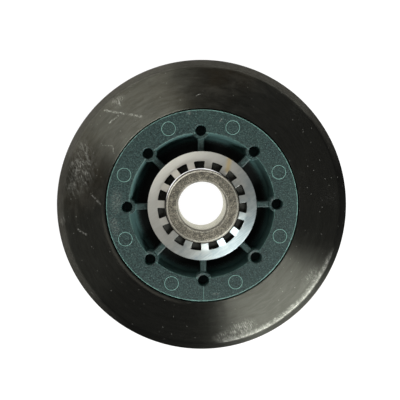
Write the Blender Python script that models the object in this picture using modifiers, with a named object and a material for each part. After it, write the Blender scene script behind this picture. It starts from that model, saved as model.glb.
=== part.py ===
"""Drum support roller: a rubber tyre on a ribbed nylon hub, turning on a sintered sleeve bush.

Units are metres. +Z is the bore axis, pointing out of the front face, and the origin is the
centre of the roller. Every piece is symmetric front to back unless its own comment says so.
"""

import math

import bmesh
import bpy
from mathutils import Matrix

MM = 0.001
GAP = 0.3 * MM                        # kept between pieces that touch
MERGE = 0.00001

# Sleeve bush: half inch bore, three quarter inch outside
BORE_RADIUS = 6.35 * MM
BUSH_RADIUS = 9.525 * MM
BUSH_END = 14.3 * MM
BUSH_OUTER_CHAMFER = 0.75 * MM
BUSH_BORE_CHAMFER = 0.3 * MM

# Hub: outer rim, middle web and the boss round the bush
HUB_RADIUS = 25.3 * MM
HUB_FACE = 8.5 * MM
HUB_EDGE = 0.25 * MM
POCKET_RADIUS = 19.15 * MM            # pocket wall at the face
POCKET_FOOT_RADIUS = 18.35 * MM       # pocket wall where its fillet starts
POCKET_FILLET = 1.75 * MM
WEB_HALF = 1.25 * MM
BOSS_RADIUS = 13.6 * MM
BOSS_FOOT_RADIUS = 13.75 * MM
BOSS_FILLET = 1.2 * MM
BOSS_END = 9.4 * MM
KEY_DEPTH = 1.0 * MM                  # groove in the rim that locks the tyre
KEY_HALF = 3.4 * MM

# Ribs, and the blind holes that core out their outer ends
RIB_COUNT = 8
RIB_TOP = 8.0 * MM
RIB_WIDTH_TOP = 1.6 * MM
RIB_WIDTH_WEB = 2.1 * MM
RIB_EDGE = 0.3 * MM
RIB_INNER = 12.9 * MM
RIB_OUTER = 20.2 * MM
HOLE_CIRCLE = 19.8 * MM
HOLE_RADIUS = 1.45 * MM
HOLE_FLOOR_RADIUS = 1.3 * MM
HOLE_FLOOR = 1.6 * MM
HOLE_CHAMFER = 0.2 * MM
HOLE_BOSS_RADIUS = 2.25 * MM
HOLE_BOSS_WEB_RADIUS = 2.4 * MM
HOLE_BOSS_TOP = 8.55 * MM             # a hair proud of the face

# Moulding marks: ejector pin rings on the front face, gate marks on the rear face
MARK_CIRCLE = 22.05 * MM
EJECTOR_RADIUS = 1.95 * MM
EJECTOR_LINE = 0.28 * MM
EJECTOR_HEIGHT = 0.1 * MM
GATE_RADIUS = 1.3 * MM
GATE_DEPTH = 0.18 * MM
GATE_NUB_RADIUS = 0.45 * MM
GATE_NUB_HEIGHT = 0.12 * MM

# Tyre
TYRE_RADIUS = 38.95 * MM
TYRE_CROWN = 0.2 * MM                 # drop from the middle of the tread to its edge
TYRE_FACE_INNER = 8.5 * MM
TYRE_FACE_MIDDLE = 8.42 * MM          # the face falls away faster towards its outer edge
TYRE_FACE_OUTER = 8.17 * MM
TYRE_FACE_RADIUS = 36.05 * MM
TYRE_BREAK = 0.3 * MM
SHOULDER_CORNER = 1.2 * MM            # small radius at the edge of the face
SHOULDER_START = math.radians(86)     # direction of that radius where it leaves the face
SHOULDER_LEAN = math.radians(28)      # and where the steep conical flank begins
FLANK_RADIUS = 38.35 * MM             # the flank's lower end

# Toothed push-on retainers
RETAINER_RADIUS = 14.3 * MM
RETAINER_THICKNESS = 0.6 * MM
RETAINER_EDGE = 0.1 * MM
TOOTH_COUNT = 15
TOOTH_WIDTH = 1.93 * MM
TOOTH_ROOT_RADIUS = 11.74 * MM
TOOTH_BEND = math.radians(12)         # the bush pushes the teeth outwards
WINDOW_CORNER = 0.3 * MM
FRONT_RETAINER_TURN = math.radians(-3.35)
REAR_RETAINER_TURN = math.radians(5.0)

# Felt oil wicks in the ends of the boss
WICK_RADIUS = 11.9 * MM
WICK_EDGE = 0.35 * MM
WICK_FLOOR = 4.4 * MM

# Steps round each turned piece
TYRE_STEPS = 64
HUB_STEPS = 48
BUSH_STEPS = 56
RETAINER_STEPS = 60
WICK_STEPS = 40
HOLE_STEPS = 12
MARK_STEPS = 14

SHARP_ANGLE = math.radians(32)


def clear_scene():
    for item in list(bpy.data.objects):
        bpy.data.objects.remove(item, do_unlink=True)


def new_collection(name):
    group = bpy.data.collections.new(name)
    bpy.context.scene.collection.children.link(group)
    return group


def new_material(name, colour, roughness, metallic=0.0):
    material = bpy.data.materials.new(name)
    material.use_nodes = True
    shader = material.node_tree.nodes["Principled BSDF"]
    shader.inputs["Base Color"].default_value = (*colour, 1.0)
    shader.inputs["Roughness"].default_value = roughness
    shader.inputs["Metallic"].default_value = metallic
    return material


def arc(centre, radius, start, end, steps):
    """Points of an arc in the (radius, z) plane, both ends included."""
    angles = [start + (end - start) * i / steps for i in range(steps + 1)]
    return [(centre[0] + radius * math.cos(a), centre[1] + radius * math.sin(a)) for a in angles]


def mirrored(upper):
    """Closed profile from its upper half, which runs up the bore and down the outside."""
    return upper + [(r, -z) for r, z in reversed(upper) if z > MERGE]


def evaluated_mesh(item):
    bpy.context.view_layer.update()
    graph = bpy.context.evaluated_depsgraph_get()
    return bpy.data.meshes.new_from_object(item.evaluated_get(graph))


def settle(item):
    """Turns an object's modifiers into its mesh."""
    mesh = evaluated_mesh(item)
    item.modifiers.clear()
    item.data = mesh


def turned(name, profile, steps, group, closed=True):
    """A solid of revolution about Z. An open profile starts and ends on the axis."""
    mesh = bpy.data.meshes.new(name)
    count = len(profile)
    edges = [(i, (i + 1) % count) for i in range(count if closed else count - 1)]
    mesh.from_pydata([(r, 0.0, z) for r, z in profile], edges, [])
    item = bpy.data.objects.new(name, mesh)
    group.objects.link(item)
    screw = item.modifiers.new("turn", "SCREW")
    screw.axis = "Z"
    screw.steps = steps
    screw.render_steps = steps
    screw.use_merge_vertices = True
    screw.merge_threshold = MERGE
    settle(item)
    return item


def extruded(name, outline, half_depth, group):
    """A flat outline in XY, extruded along Z to both sides."""
    curve = bpy.data.curves.new(name, "CURVE")
    curve.dimensions = "2D"
    curve.fill_mode = "BOTH"
    curve.extrude = half_depth
    spline = curve.splines.new("POLY")
    spline.points.add(len(outline) - 1)
    for point, (x, y) in zip(spline.points, outline):
        point.co = (x, y, 0.0, 1.0)
    spline.use_cyclic_u = True
    guide = bpy.data.objects.new(name, curve)
    group.objects.link(guide)
    mesh = evaluated_mesh(guide)
    bpy.data.objects.remove(guide, do_unlink=True)
    item = bpy.data.objects.new(name, mesh)
    group.objects.link(item)
    weld = item.modifiers.new("weld", "WELD")
    weld.merge_threshold = MERGE
    settle(item)
    return item


def place(item, transform):
    """Moves the mesh itself, so that the object keeps its origin on the bore axis."""
    item.data.transform(transform)


def ring_of(source, count, start, group, transform=Matrix()):
    """One object holding copies of a mesh, placed and then spaced round the bore axis."""
    everything = bmesh.new()
    for i in range(count):
        mesh = source.data.copy()
        mesh.transform(Matrix.Rotation(start + i * math.tau / count, 4, "Z") @ transform)
        everything.from_mesh(mesh)
    ring = bpy.data.objects.new(f"{source.name}_ring", bpy.data.meshes.new(source.name))
    everything.to_mesh(ring.data)
    everything.free()
    group.objects.link(ring)
    bpy.data.objects.remove(source, do_unlink=True)
    return ring


def combine(item, tools, operation):
    """One Boolean with all the tools, which don't touch each other and are then removed."""
    everything = bmesh.new()
    for tool in tools:
        everything.from_mesh(tool.data)
    everything.to_mesh(tools[0].data)
    everything.free()
    cut = item.modifiers.new(operation.lower(), "BOOLEAN")
    cut.operation = operation
    cut.solver = "EXACT"
    cut.object = tools[0]
    item.modifiers.new("triangles", "TRIANGULATE")
    settle(item)
    for tool in tools:
        bpy.data.objects.remove(tool, do_unlink=True)


def finish(item, material):
    item.data.materials.clear()
    item.data.materials.append(material)
    item.data.shade_smooth()
    item.data.set_sharp_from_angle(angle=SHARP_ANGLE)
    return item


def make_bush(group):
    bore = BORE_RADIUS
    outer = BUSH_RADIUS
    upper = [
        (bore, BUSH_END - BUSH_BORE_CHAMFER),
        (bore + BUSH_BORE_CHAMFER, BUSH_END),
        (outer - BUSH_OUTER_CHAMFER, BUSH_END),
        (outer, BUSH_END - BUSH_OUTER_CHAMFER),
    ]
    bush = turned("bush", mirrored(upper), BUSH_STEPS, group)
    return finish(bush, new_material("sintered_iron", (0.17, 0.16, 0.125), 0.62, 0.55))


def hub_profile():
    bore = BUSH_RADIUS + GAP
    recess = WICK_RADIUS + GAP
    upper = [
        (bore, WICK_FLOOR),
        (recess, WICK_FLOOR),
        (recess, BOSS_END - HUB_EDGE),
        (recess + HUB_EDGE, BOSS_END),
        (BOSS_RADIUS - HUB_EDGE, BOSS_END),
        (BOSS_RADIUS, BOSS_END - HUB_EDGE),
    ]
    boss_centre = (BOSS_FOOT_RADIUS + BOSS_FILLET, WEB_HALF + BOSS_FILLET)
    upper += arc(boss_centre, BOSS_FILLET, math.pi, 1.5 * math.pi, 2)
    pocket_centre = (POCKET_FOOT_RADIUS - POCKET_FILLET, WEB_HALF + POCKET_FILLET)
    upper += arc(pocket_centre, POCKET_FILLET, -0.5 * math.pi, 0.0, 3)
    upper += [
        (POCKET_RADIUS - HUB_EDGE, HUB_FACE - HUB_EDGE),
        (POCKET_RADIUS, HUB_FACE),
        (HUB_RADIUS - HUB_EDGE, HUB_FACE),
        (HUB_RADIUS, HUB_FACE - HUB_EDGE),
        (HUB_RADIUS, KEY_HALF + KEY_DEPTH),
        (HUB_RADIUS - KEY_DEPTH, KEY_HALF),
    ]
    return mirrored(upper)


def make_rib(group):
    """A rib runs through the web, from the front pocket to the rear one."""
    half = RIB_WIDTH_TOP / 2
    quarter = [(RIB_WIDTH_WEB / 2, 0.0)]
    quarter += arc((half - RIB_EDGE, RIB_TOP - RIB_EDGE), RIB_EDGE, 0.0, 0.5 * math.pi, 2)
    right = [(x, -z) for x, z in reversed(quarter[1:])] + quarter
    outline = right + [(-x, z) for x, z in reversed(right)]
    rib = extruded("rib", outline, (RIB_OUTER - RIB_INNER) / 2, group)
    middle = Matrix.Translation(((RIB_OUTER + RIB_INNER) / 2, 0.0, 0.0))
    upright = Matrix(((0, 0, 1, 0), (1, 0, 0, 0), (0, 1, 0, 0), (0, 0, 0, 1)))
    rib.data.transform(middle @ upright)
    return rib


def make_hole_boss(group):
    profile = [
        (0.0, HOLE_BOSS_TOP),
        (HOLE_BOSS_RADIUS - HUB_EDGE, HOLE_BOSS_TOP),
        (HOLE_BOSS_RADIUS, HOLE_BOSS_TOP - HUB_EDGE),
        (HOLE_BOSS_WEB_RADIUS, 0.0),
        (HOLE_BOSS_RADIUS, HUB_EDGE - HOLE_BOSS_TOP),
        (HOLE_BOSS_RADIUS - HUB_EDGE, -HOLE_BOSS_TOP),
        (0.0, -HOLE_BOSS_TOP),
    ]
    boss = turned("hole_boss", profile, HOLE_STEPS, group, closed=False)
    boss.data.transform(Matrix.Translation((HOLE_CIRCLE, 0.0, 0.0)))
    return boss


def make_spokes(group):
    spoke = make_rib(group)
    combine(spoke, [make_hole_boss(group)], "UNION")
    return ring_of(spoke, RIB_COUNT, 0.0, group)


def make_hole_cutters(group):
    """Blind holes from both faces, each with a chamfered mouth."""
    above = HUB_FACE + 1.0 * MM
    mouth = HOLE_RADIUS + HOLE_CHAMFER + above - HOLE_BOSS_TOP
    profile = [
        (0.0, above),
        (mouth, above),
        (HOLE_RADIUS, HOLE_BOSS_TOP - HOLE_CHAMFER),
        (HOLE_FLOOR_RADIUS, HOLE_FLOOR),
        (0.0, HOLE_FLOOR),
    ]
    cutters = []
    for side, turn in (("front", 0.0), ("rear", math.pi)):
        cutter = turned(f"{side}_hole", profile, HOLE_STEPS, group, closed=False)
        where = Matrix.Translation((HOLE_CIRCLE, 0.0, 0.0)) @ Matrix.Rotation(turn, 4, "X")
        cutters.append(ring_of(cutter, RIB_COUNT, 0.0, group, where))
    return cutters


def make_ejector_rings(group):
    """Thin raised rings that the ejector pins leave, midway between the ribs."""
    root = HUB_FACE - EJECTOR_HEIGHT
    top = HUB_FACE + EJECTOR_HEIGHT
    slope = 0.3 * EJECTOR_LINE
    profile = [
        (EJECTOR_RADIUS - EJECTOR_LINE, root),
        (EJECTOR_RADIUS - EJECTOR_LINE + slope, top),
        (EJECTOR_RADIUS - slope, top),
        (EJECTOR_RADIUS, root),
    ]
    mark = turned("ejector_ring", profile, MARK_STEPS, group)
    start = math.pi / RIB_COUNT
    return ring_of(mark, RIB_COUNT, start, group, Matrix.Translation((MARK_CIRCLE, 0.0, 0.0)))


def make_gate_marks(group):
    """Dimples of the pin gates on the rear face, and the broken-off nub in each."""
    face = -HUB_FACE
    dimple_profile = [
        (0.0, face + GATE_DEPTH),
        (GATE_RADIUS - GATE_DEPTH, face + GATE_DEPTH),
        (GATE_RADIUS + GATE_DEPTH, face - GATE_DEPTH),
        (0.0, face - GATE_DEPTH),
    ]
    nub_profile = [
        (0.0, face + 2 * GATE_DEPTH),
        (GATE_NUB_RADIUS, face + 2 * GATE_DEPTH),
        (GATE_NUB_RADIUS, face + GATE_DEPTH - 0.5 * GATE_NUB_HEIGHT),
        (0.6 * GATE_NUB_RADIUS, face + GATE_DEPTH - GATE_NUB_HEIGHT),
        (0.0, face + GATE_DEPTH - GATE_NUB_HEIGHT),
    ]
    where = Matrix.Translation((MARK_CIRCLE, 0.0, 0.0))
    start = math.pi / RIB_COUNT
    gates = RIB_COUNT // 2
    dimple = turned("gate_dimple", dimple_profile, HOLE_STEPS, group, closed=False)
    dimples = ring_of(dimple, gates, start, group, where)
    nub = turned("gate_nub", nub_profile, HOLE_STEPS // 2, group, closed=False)
    nubs = ring_of(nub, gates, start, group, where)
    return dimples, nubs


def make_hub(group, guides):
    hub = turned("hub", hub_profile(), HUB_STEPS, group)
    dimples, nubs = make_gate_marks(guides)
    combine(hub, [make_spokes(guides)], "UNION")
    combine(hub, make_hole_cutters(guides) + [dimples], "DIFFERENCE")
    combine(hub, [nubs, make_ejector_rings(guides)], "UNION")
    return finish(hub, new_material("teal_nylon", (0.045, 0.092, 0.082), 0.5))


def make_tyre(group):
    """Moulded onto the rim, with a bead that fills the rim's key groove."""
    bore = HUB_RADIUS + GAP
    bead_half = KEY_HALF + GAP - GAP * math.sqrt(2)
    edge = TYRE_RADIUS - TYRE_CROWN
    upper = [
        (bore - KEY_DEPTH, bead_half),
        (bore, bead_half + KEY_DEPTH),
        (bore, TYRE_FACE_INNER - TYRE_BREAK),
        (bore + TYRE_BREAK, TYRE_FACE_INNER),
        ((bore + TYRE_FACE_RADIUS) / 2, TYRE_FACE_MIDDLE),
    ]
    corner_centre = (
        TYRE_FACE_RADIUS - SHOULDER_CORNER * math.cos(SHOULDER_START),
        TYRE_FACE_OUTER - SHOULDER_CORNER * math.sin(SHOULDER_START),
    )
    corner = arc(corner_centre, SHOULDER_CORNER, SHOULDER_START, SHOULDER_LEAN, 4)
    flank_end = corner[-1][1] - (FLANK_RADIUS - corner[-1][0]) / math.tan(SHOULDER_LEAN)
    side_radius = (edge - FLANK_RADIUS) / (1 - math.cos(SHOULDER_LEAN))
    side_centre = (edge - side_radius, flank_end - side_radius * math.sin(SHOULDER_LEAN))
    upper += corner + arc(side_centre, side_radius, SHOULDER_LEAN, 0.0, 2)
    upper += [
        (TYRE_RADIUS - TYRE_CROWN / 4, side_centre[1] / 2),
        (TYRE_RADIUS, 0.0),
    ]
    tyre = turned("tyre", mirrored(upper), TYRE_STEPS, group)
    return finish(tyre, new_material("black_rubber", (0.014, 0.014, 0.013), 0.55))


def retainer_profile():
    """Flat rim, with a shallow cone inside the root radius that becomes the teeth."""
    bottom = BOSS_END + GAP
    top = bottom + RETAINER_THICKNESS
    tip = BUSH_RADIUS + GAP
    rise = (TOOTH_ROOT_RADIUS - tip) * math.tan(TOOTH_BEND)
    outer = RETAINER_RADIUS
    edge = RETAINER_EDGE
    return [
        (tip, bottom + rise),
        (tip, top + rise - edge),
        (tip + edge, top + rise),
        (TOOTH_ROOT_RADIUS, top),
        (outer - edge, top),
        (outer, top - edge),
        (outer, bottom + edge),
        (outer - edge, bottom),
        (TOOTH_ROOT_RADIUS, bottom),
    ]


def window_outline():
    """Window on +X between two parallel-sided teeth, with rounded outer corners."""
    half_pitch = math.pi / TOOTH_COUNT
    half_tooth = TOOTH_WIDTH / 2
    inner = BUSH_RADIUS - 1.0 * MM
    corner = WINDOW_CORNER

    def flank(radius):
        angle = half_pitch - math.asin(half_tooth / radius)
        return (radius * math.cos(angle), radius * math.sin(angle))

    def root(angle):
        return (TOOTH_ROOT_RADIUS * math.cos(angle), TOOTH_ROOT_RADIUS * math.sin(angle))

    root_angle = half_pitch - math.asin(half_tooth / TOOTH_ROOT_RADIUS)
    start = root_angle - corner / TOOTH_ROOT_RADIUS
    bevel = flank(TOOTH_ROOT_RADIUS - 0.3 * corner)
    middle = root(root_angle - 0.3 * corner / TOOTH_ROOT_RADIUS)
    corner_point = ((bevel[0] + middle[0]) / 2, (bevel[1] + middle[1]) / 2)
    upper = [flank(inner), flank(TOOTH_ROOT_RADIUS - corner), corner_point, root(start)]
    upper.append(root(start / 3))
    return [(x, -y) for x, y in upper] + list(reversed(upper))


def make_retainer(name, turn, rear, group, guides):
    retainer = turned(name, retainer_profile(), RETAINER_STEPS, group)
    window = extruded("window", window_outline(), 3.0 * MM, guides)
    level = Matrix.Translation((0.0, 0.0, BOSS_END))
    combine(retainer, [ring_of(window, TOOTH_COUNT, 0.0, guides, level)], "DIFFERENCE")
    flip = Matrix.Rotation(math.pi if rear else 0.0, 4, "X")
    place(retainer, Matrix.Rotation(turn, 4, "Z") @ flip)
    return finish(retainer, new_material(f"{name}_steel", (0.6, 0.62, 0.61), 0.32, 1.0))


def make_wick(name, rear, group):
    inner = BUSH_RADIUS + GAP
    floor = WICK_FLOOR + GAP
    edge = WICK_EDGE
    profile = [
        (inner, floor),
        (inner, BOSS_END - edge),
        (inner + edge, BOSS_END),
        (WICK_RADIUS - edge, BOSS_END),
        (WICK_RADIUS, BOSS_END - edge),
        (WICK_RADIUS, floor),
    ]
    wick = turned(name, profile, WICK_STEPS, group)
    place(wick, Matrix.Rotation(math.pi if rear else 0.0, 4, "X"))
    return finish(wick, new_material(f"{name}_felt", (0.014, 0.015, 0.012), 0.95))


def main():
    clear_scene()
    roller = new_collection("drum_support_roller")
    guides = new_collection("cutters")
    make_tyre(roller)
    make_hub(roller, guides)
    make_bush(roller)
    make_wick("front_wick", False, roller)
    make_wick("rear_wick", True, roller)
    make_retainer("front_retainer", FRONT_RETAINER_TURN, False, roller, guides)
    make_retainer("rear_retainer", REAR_RETAINER_TURN, True, roller, guides)


main()
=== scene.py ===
"""Looks of the drum support roller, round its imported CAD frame.

It adds the fine surfaces, the materials, the light and the camera.
"""

import math

import bmesh
import bpy
from mathutils import Matrix, Vector, noise


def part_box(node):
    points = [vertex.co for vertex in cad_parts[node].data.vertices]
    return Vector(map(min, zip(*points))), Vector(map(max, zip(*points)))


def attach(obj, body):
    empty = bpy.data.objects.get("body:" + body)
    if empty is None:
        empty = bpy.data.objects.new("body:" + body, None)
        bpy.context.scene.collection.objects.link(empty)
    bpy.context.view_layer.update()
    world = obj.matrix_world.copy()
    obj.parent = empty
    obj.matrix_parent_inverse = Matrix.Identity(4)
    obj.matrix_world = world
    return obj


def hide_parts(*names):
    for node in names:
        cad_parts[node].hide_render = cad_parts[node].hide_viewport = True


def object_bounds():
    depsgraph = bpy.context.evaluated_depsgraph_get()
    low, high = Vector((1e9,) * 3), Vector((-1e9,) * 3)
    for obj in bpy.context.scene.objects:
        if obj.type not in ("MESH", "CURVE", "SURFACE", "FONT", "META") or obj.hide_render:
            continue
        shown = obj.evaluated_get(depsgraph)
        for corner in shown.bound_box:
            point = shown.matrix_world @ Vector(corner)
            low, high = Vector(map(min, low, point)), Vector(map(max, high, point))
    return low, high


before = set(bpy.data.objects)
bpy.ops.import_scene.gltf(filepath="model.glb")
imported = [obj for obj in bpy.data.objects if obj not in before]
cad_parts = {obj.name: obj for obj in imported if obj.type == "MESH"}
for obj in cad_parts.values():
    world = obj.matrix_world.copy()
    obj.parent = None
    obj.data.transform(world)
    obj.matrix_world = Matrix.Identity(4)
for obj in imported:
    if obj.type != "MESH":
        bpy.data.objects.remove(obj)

CAD_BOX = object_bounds()
MM = 0.001
BODY = "root"

# Sizes that the CAD solids give
TYRE_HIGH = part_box("tyre")[1]
HUB_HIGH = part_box("hub")[1]
BUSH_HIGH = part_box("bush")[1]
RETAINER_LOW, RETAINER_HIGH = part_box("front_retainer")
WICK_LOW, WICK_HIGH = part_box("front_wick")
TYRE_RADIUS = TYRE_HIGH.x
TYRE_FACE = TYRE_HIGH.z
HUB_RADIUS = HUB_HIGH.x
BOSS_END = WICK_HIGH.z
BUSH_RADIUS = BUSH_HIGH.x
BUSH_END = BUSH_HIGH.z
RETAINER_RADIUS = RETAINER_HIGH.x
RETAINER_BOTTOM = RETAINER_LOW.z
WICK_RADIUS = WICK_HIGH.x
WICK_BOTTOM = WICK_LOW.z
GAP = RETAINER_BOTTOM - BOSS_END

# Details of the CAD parts that a box doesn't give
BORE_RADIUS = 6.35 * MM
BUSH_OUTER_CHAMFER = 0.75 * MM
HUB_FACE = 8.5 * MM
POCKET_RADIUS = 19.15 * MM
POCKET_FOOT_RADIUS = 18.35 * MM
POCKET_FILLET = 1.75 * MM
WEB_HALF = 1.25 * MM
BOSS_RADIUS = 13.6 * MM
BOSS_FOOT_RADIUS = 13.75 * MM
BOSS_FILLET = 1.2 * MM
KEY_DEPTH = 1.0 * MM
KEY_HALF = 3.4 * MM
RIB_COUNT = 8
RIB_TOP = 8.0 * MM
RIB_WIDTH_TOP = 1.6 * MM
RIB_WIDTH_WEB = 2.1 * MM
RIB_INNER = 12.9 * MM
RIB_OUTER = 20.2 * MM
HOLE_CIRCLE = 19.8 * MM
HOLE_RADIUS = 1.45 * MM
HOLE_FLOOR_RADIUS = 1.3 * MM
HOLE_FLOOR = 1.6 * MM
HOLE_BOSS_RADIUS = 2.25 * MM
MARK_CIRCLE = 22.05 * MM
EJECTOR_RADIUS = 1.95 * MM
EJECTOR_LINE = 0.28 * MM
EJECTOR_HEIGHT = 0.1 * MM
GATE_RADIUS = 1.3 * MM
GATE_DEPTH = 0.18 * MM
GATE_NUB_RADIUS = 0.45 * MM
TYRE_EDGE_RADIUS = 38.75 * MM
TYRE_FACE_OUTER = 8.17 * MM
TYRE_FACE_RADIUS = 36.05 * MM
SHOULDER_CORNER = 1.2 * MM
SHOULDER_START = math.radians(86)
SHOULDER_LEAN = math.radians(28)
FLANK_RADIUS = 38.35 * MM
TOOTH_COUNT = 15
TOOTH_WIDTH = 1.93 * MM
TOOTH_ROOT_RADIUS = 11.74 * MM
TOOTH_BEND = math.radians(12)
WINDOW_CORNER = 0.3 * MM
RETAINER_THICKNESS = 0.6 * MM
FRONT_RETAINER_TURN = math.radians(-3.35)
REAR_RETAINER_TURN = math.radians(5.0)
WICK_FLOOR = 4.4 * MM

# Camera: above the front face, a little off the bore axis, as in a close product shot
CAMERA_HEIGHT = 272 * MM              # above the end of the bush
CAMERA_OFFSET = Vector((-4.46, 10.43)) * MM
CAMERA_AIM = Vector((-0.6, 1.67)) * MM
CAMERA_ROLL = math.radians(-1.05)
CAMERA_LENS = 95.0
CAMERA_SENSOR = 36.0

FULL_STEPS = 192
TYRE_STEPS = 256
RING_STEPS = 120
DETAIL_STEPS = 40
CORNER_STEPS = 4
SHARP_ANGLE = math.radians(30)
ROUNDED_TURN = math.radians(25)

# Crisper or lower than in the CAD, whose values the comments give
BUSH_BORE_CHAMFER = 0.16 * MM         # 0.3 mm
FACE_BREAK = 0.14 * MM                # 0.3 mm
HOLE_BOSS_TOP = 8.46 * MM             # 8.55 mm
HOLE_MOUTH = 0.12 * MM                # 0.2 mm
WICK_ROUND = 0.25 * MM                # 0.35 mm

# Small roundings and fine relief that the CAD solids leave out or cut flat
RIB_EDGE = 0.3 * MM
HOLE_BOSS_WEB_RADIUS = 2.4 * MM
HUB_EDGE_ROUND = 0.22 * MM
BUSH_ROUND = 1.0 * MM
RETAINER_ROUND = 0.08 * MM
BEND_ROUND = 0.35 * MM
RIM_DISH = 0.1 * MM
WICK_ROWS = 10
WICK_FUZZ = 0.35 * MM

# Colours, as linear light
RUBBER_BLACK = (0.0022, 0.0022, 0.0021, 1.0)
RUBBER_BROWN = (0.0062, 0.0042, 0.002, 1.0)
# pale colour for wear, also used for painted light on the rim's upper-left side
RUBBER_WEAR_AND_LIGHT = (0.045, 0.0425, 0.036, 1.0)
TALC = (0.42, 0.42, 0.39, 1.0)
TALC_COVER = 0.55
RUBBER_IOR = 1.56
RUBBER_TINT = (0.99, 1.0, 0.86, 1.0)
RUBBER_DULL = (0.74, 0.745, 0.63, 1.0)
TURNED_ANISOTROPY = 1.0
STEEL_ANISOTROPY = 0.5
STEEL_TURN = 0.262                   # a quarter turn, and the slight spiral of the marks
NYLON_DARK = (0.0012, 0.0055, 0.0056, 1.0)
NYLON_LIGHT = (0.0158, 0.0365, 0.0353, 1.0)
NYLON_GREEN = (0.011, 0.027, 0.023, 1.0)
NYLON_FIBRE = (0.065, 0.1, 0.095, 1.0)
# lighter copy of the nylon, painted light on the pocket walls
NYLON_LIT_WALL = (0.052, 0.104, 0.101, 1.0)
# pale colour for wear and for painted edge highlights
NYLON_WEAR_AND_HIGHLIGHT = (0.2, 0.38, 0.34, 1.0)
# near-black colour of the painted shade on the pockets' floors
POCKET_SHADE_BLACK = (0.0035, 0.004, 0.0038, 1.0)
IRON_DARK = (0.02, 0.018, 0.013, 1.0)
IRON_LIGHT = (0.185, 0.168, 0.132, 1.0)
IRON_BRIGHT = (0.66, 0.64, 0.56, 1.0)
IRON_PORE = (0.02, 0.018, 0.014, 1.0)
# cool and warm tints of the painted reflection across the rings
STEEL_COOL = (0.267, 0.322, 0.338, 1.0)
STEEL_WARM = (0.575, 0.565, 0.52, 1.0)
STEEL_BRIGHT = (0.72, 0.74, 0.74, 1.0)
STEEL_STAIN = (0.68, 0.53, 0.27, 1.0)
FELT_DARK = (0.0045, 0.005, 0.0038, 1.0)
FELT_LIGHT = (0.014, 0.0145, 0.0115, 1.0)
FELT_STRAND = (0.03, 0.03, 0.026, 1.0)

# Studio
FLOOR_SIZE = 4.0
PAPER_GLOW = (0.95, 0.94, 0.83, 1.0)  # what the bore's wall sees of the paper under it
KEY_COLOUR = (0.98, 1.0, 0.97)
FILL_COLOUR = (1.0, 0.95, 0.86)
BACK_COLOUR = (1.0, 0.98, 0.93)
LOW_COLOUR = (1.0, 0.98, 0.94)
UNDER_COLOUR = (1.0, 0.98, 0.95)
WIDE_BOX = (1.0, 0.4)
ROOM_LOW = 0.8                        # how far up, from 0 to 1, the room starts to brighten
ROOM_DIM = 0.022
ROOM_BRIGHT = 0.172


# ---------------------------------------------------------------- shapes

def arc(centre, radius, start, end, steps):
    """Points of an arc in the (radius, z) plane, both ends included."""
    angles = [start + (end - start) * i / steps for i in range(steps + 1)]
    return [(centre[0] + radius * math.cos(a), centre[1] + radius * math.sin(a)) for a in angles]


def mirrored(upper):
    """Closed profile from its upper half, which runs up the bore and down the outside."""
    return upper + [(r, -z) for r, z in reversed(upper) if z > 1e-7]


def rounded(profile, radius, steps=3):
    """Rounds every corner of a closed profile that turns by ROUNDED_TURN or more."""
    result = []
    count = len(profile)
    for i, corner in enumerate(profile):
        here = Vector(corner)
        before = Vector(profile[i - 1]) - here
        after = Vector(profile[(i + 1) % count]) - here
        turn = math.pi - before.angle(after)
        reach = min(radius * math.tan(turn / 2), 0.45 * before.length, 0.45 * after.length)
        if turn < ROUNDED_TURN:
            result.append(corner)
            continue
        start = here + before.normalized() * reach
        end = here + after.normalized() * reach
        for k in range(steps + 1):
            t = k / steps
            point = start * (1 - t) ** 2 + here * 2 * t * (1 - t) + end * t ** 2
            result.append((point.x, point.y))
    return result


def new_object(name, mesh):
    item = bpy.data.objects.new(name, mesh)
    bpy.context.scene.collection.objects.link(item)
    return item


def turned_mesh(name, profile, steps=FULL_STEPS):
    """Turns a closed profile, or one made by a function of the angle, about Z."""
    rows = []
    for i in range(steps):
        angle = math.tau * i / steps
        points = profile(angle) if callable(profile) else profile
        rows.append([(r * math.cos(angle), r * math.sin(angle), z) for r, z in points])
    width = len(rows[0])
    vertices = [point for row in rows for point in row]
    faces = []
    for i in range(steps):
        here, there = i * width, (i + 1) % steps * width
        for j in range(width):
            k = (j + 1) % width
            faces.append((here + j, here + k, there + k, there + j))
    mesh = bpy.data.meshes.new(name)
    mesh.from_pydata(vertices, [], faces)
    return mesh


def turned_solid_mesh(name, profile, steps):
    """Turns a profile whose two ends lie on the axis."""
    mesh = turned_mesh(name, profile, steps)
    shape = bmesh.new()
    shape.from_mesh(mesh)
    bmesh.ops.remove_doubles(shape, verts=shape.verts, dist=1e-7)
    bmesh.ops.recalc_face_normals(shape, faces=shape.faces)
    shape.to_mesh(mesh)
    shape.free()
    return mesh


def extruded_mesh(name, outline, half_depth):
    """A closed outline in XY, given as points, extruded along Z to both sides."""
    shape = bmesh.new()
    bottom = shape.faces.new([shape.verts.new((x, y, -half_depth)) for x, y in outline])
    made = bmesh.ops.extrude_face_region(shape, geom=[bottom])
    top = [v for v in made["geom"] if isinstance(v, bmesh.types.BMVert)]
    bmesh.ops.translate(shape, verts=top, vec=(0, 0, 2 * half_depth))
    bmesh.ops.recalc_face_normals(shape, faces=shape.faces)
    mesh = bpy.data.meshes.new(name)
    shape.to_mesh(mesh)
    shape.free()
    return mesh


def spaced(mesh, count, start, transform=Matrix()):
    """One mesh of copies spaced evenly round the bore axis."""
    everything = bmesh.new()
    for i in range(count):
        copy = mesh.copy()
        copy.transform(Matrix.Rotation(start + i * math.tau / count, 4, "Z") @ transform)
        everything.from_mesh(copy)
    result = bpy.data.meshes.new(mesh.name)
    everything.to_mesh(result)
    everything.free()
    return result


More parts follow.
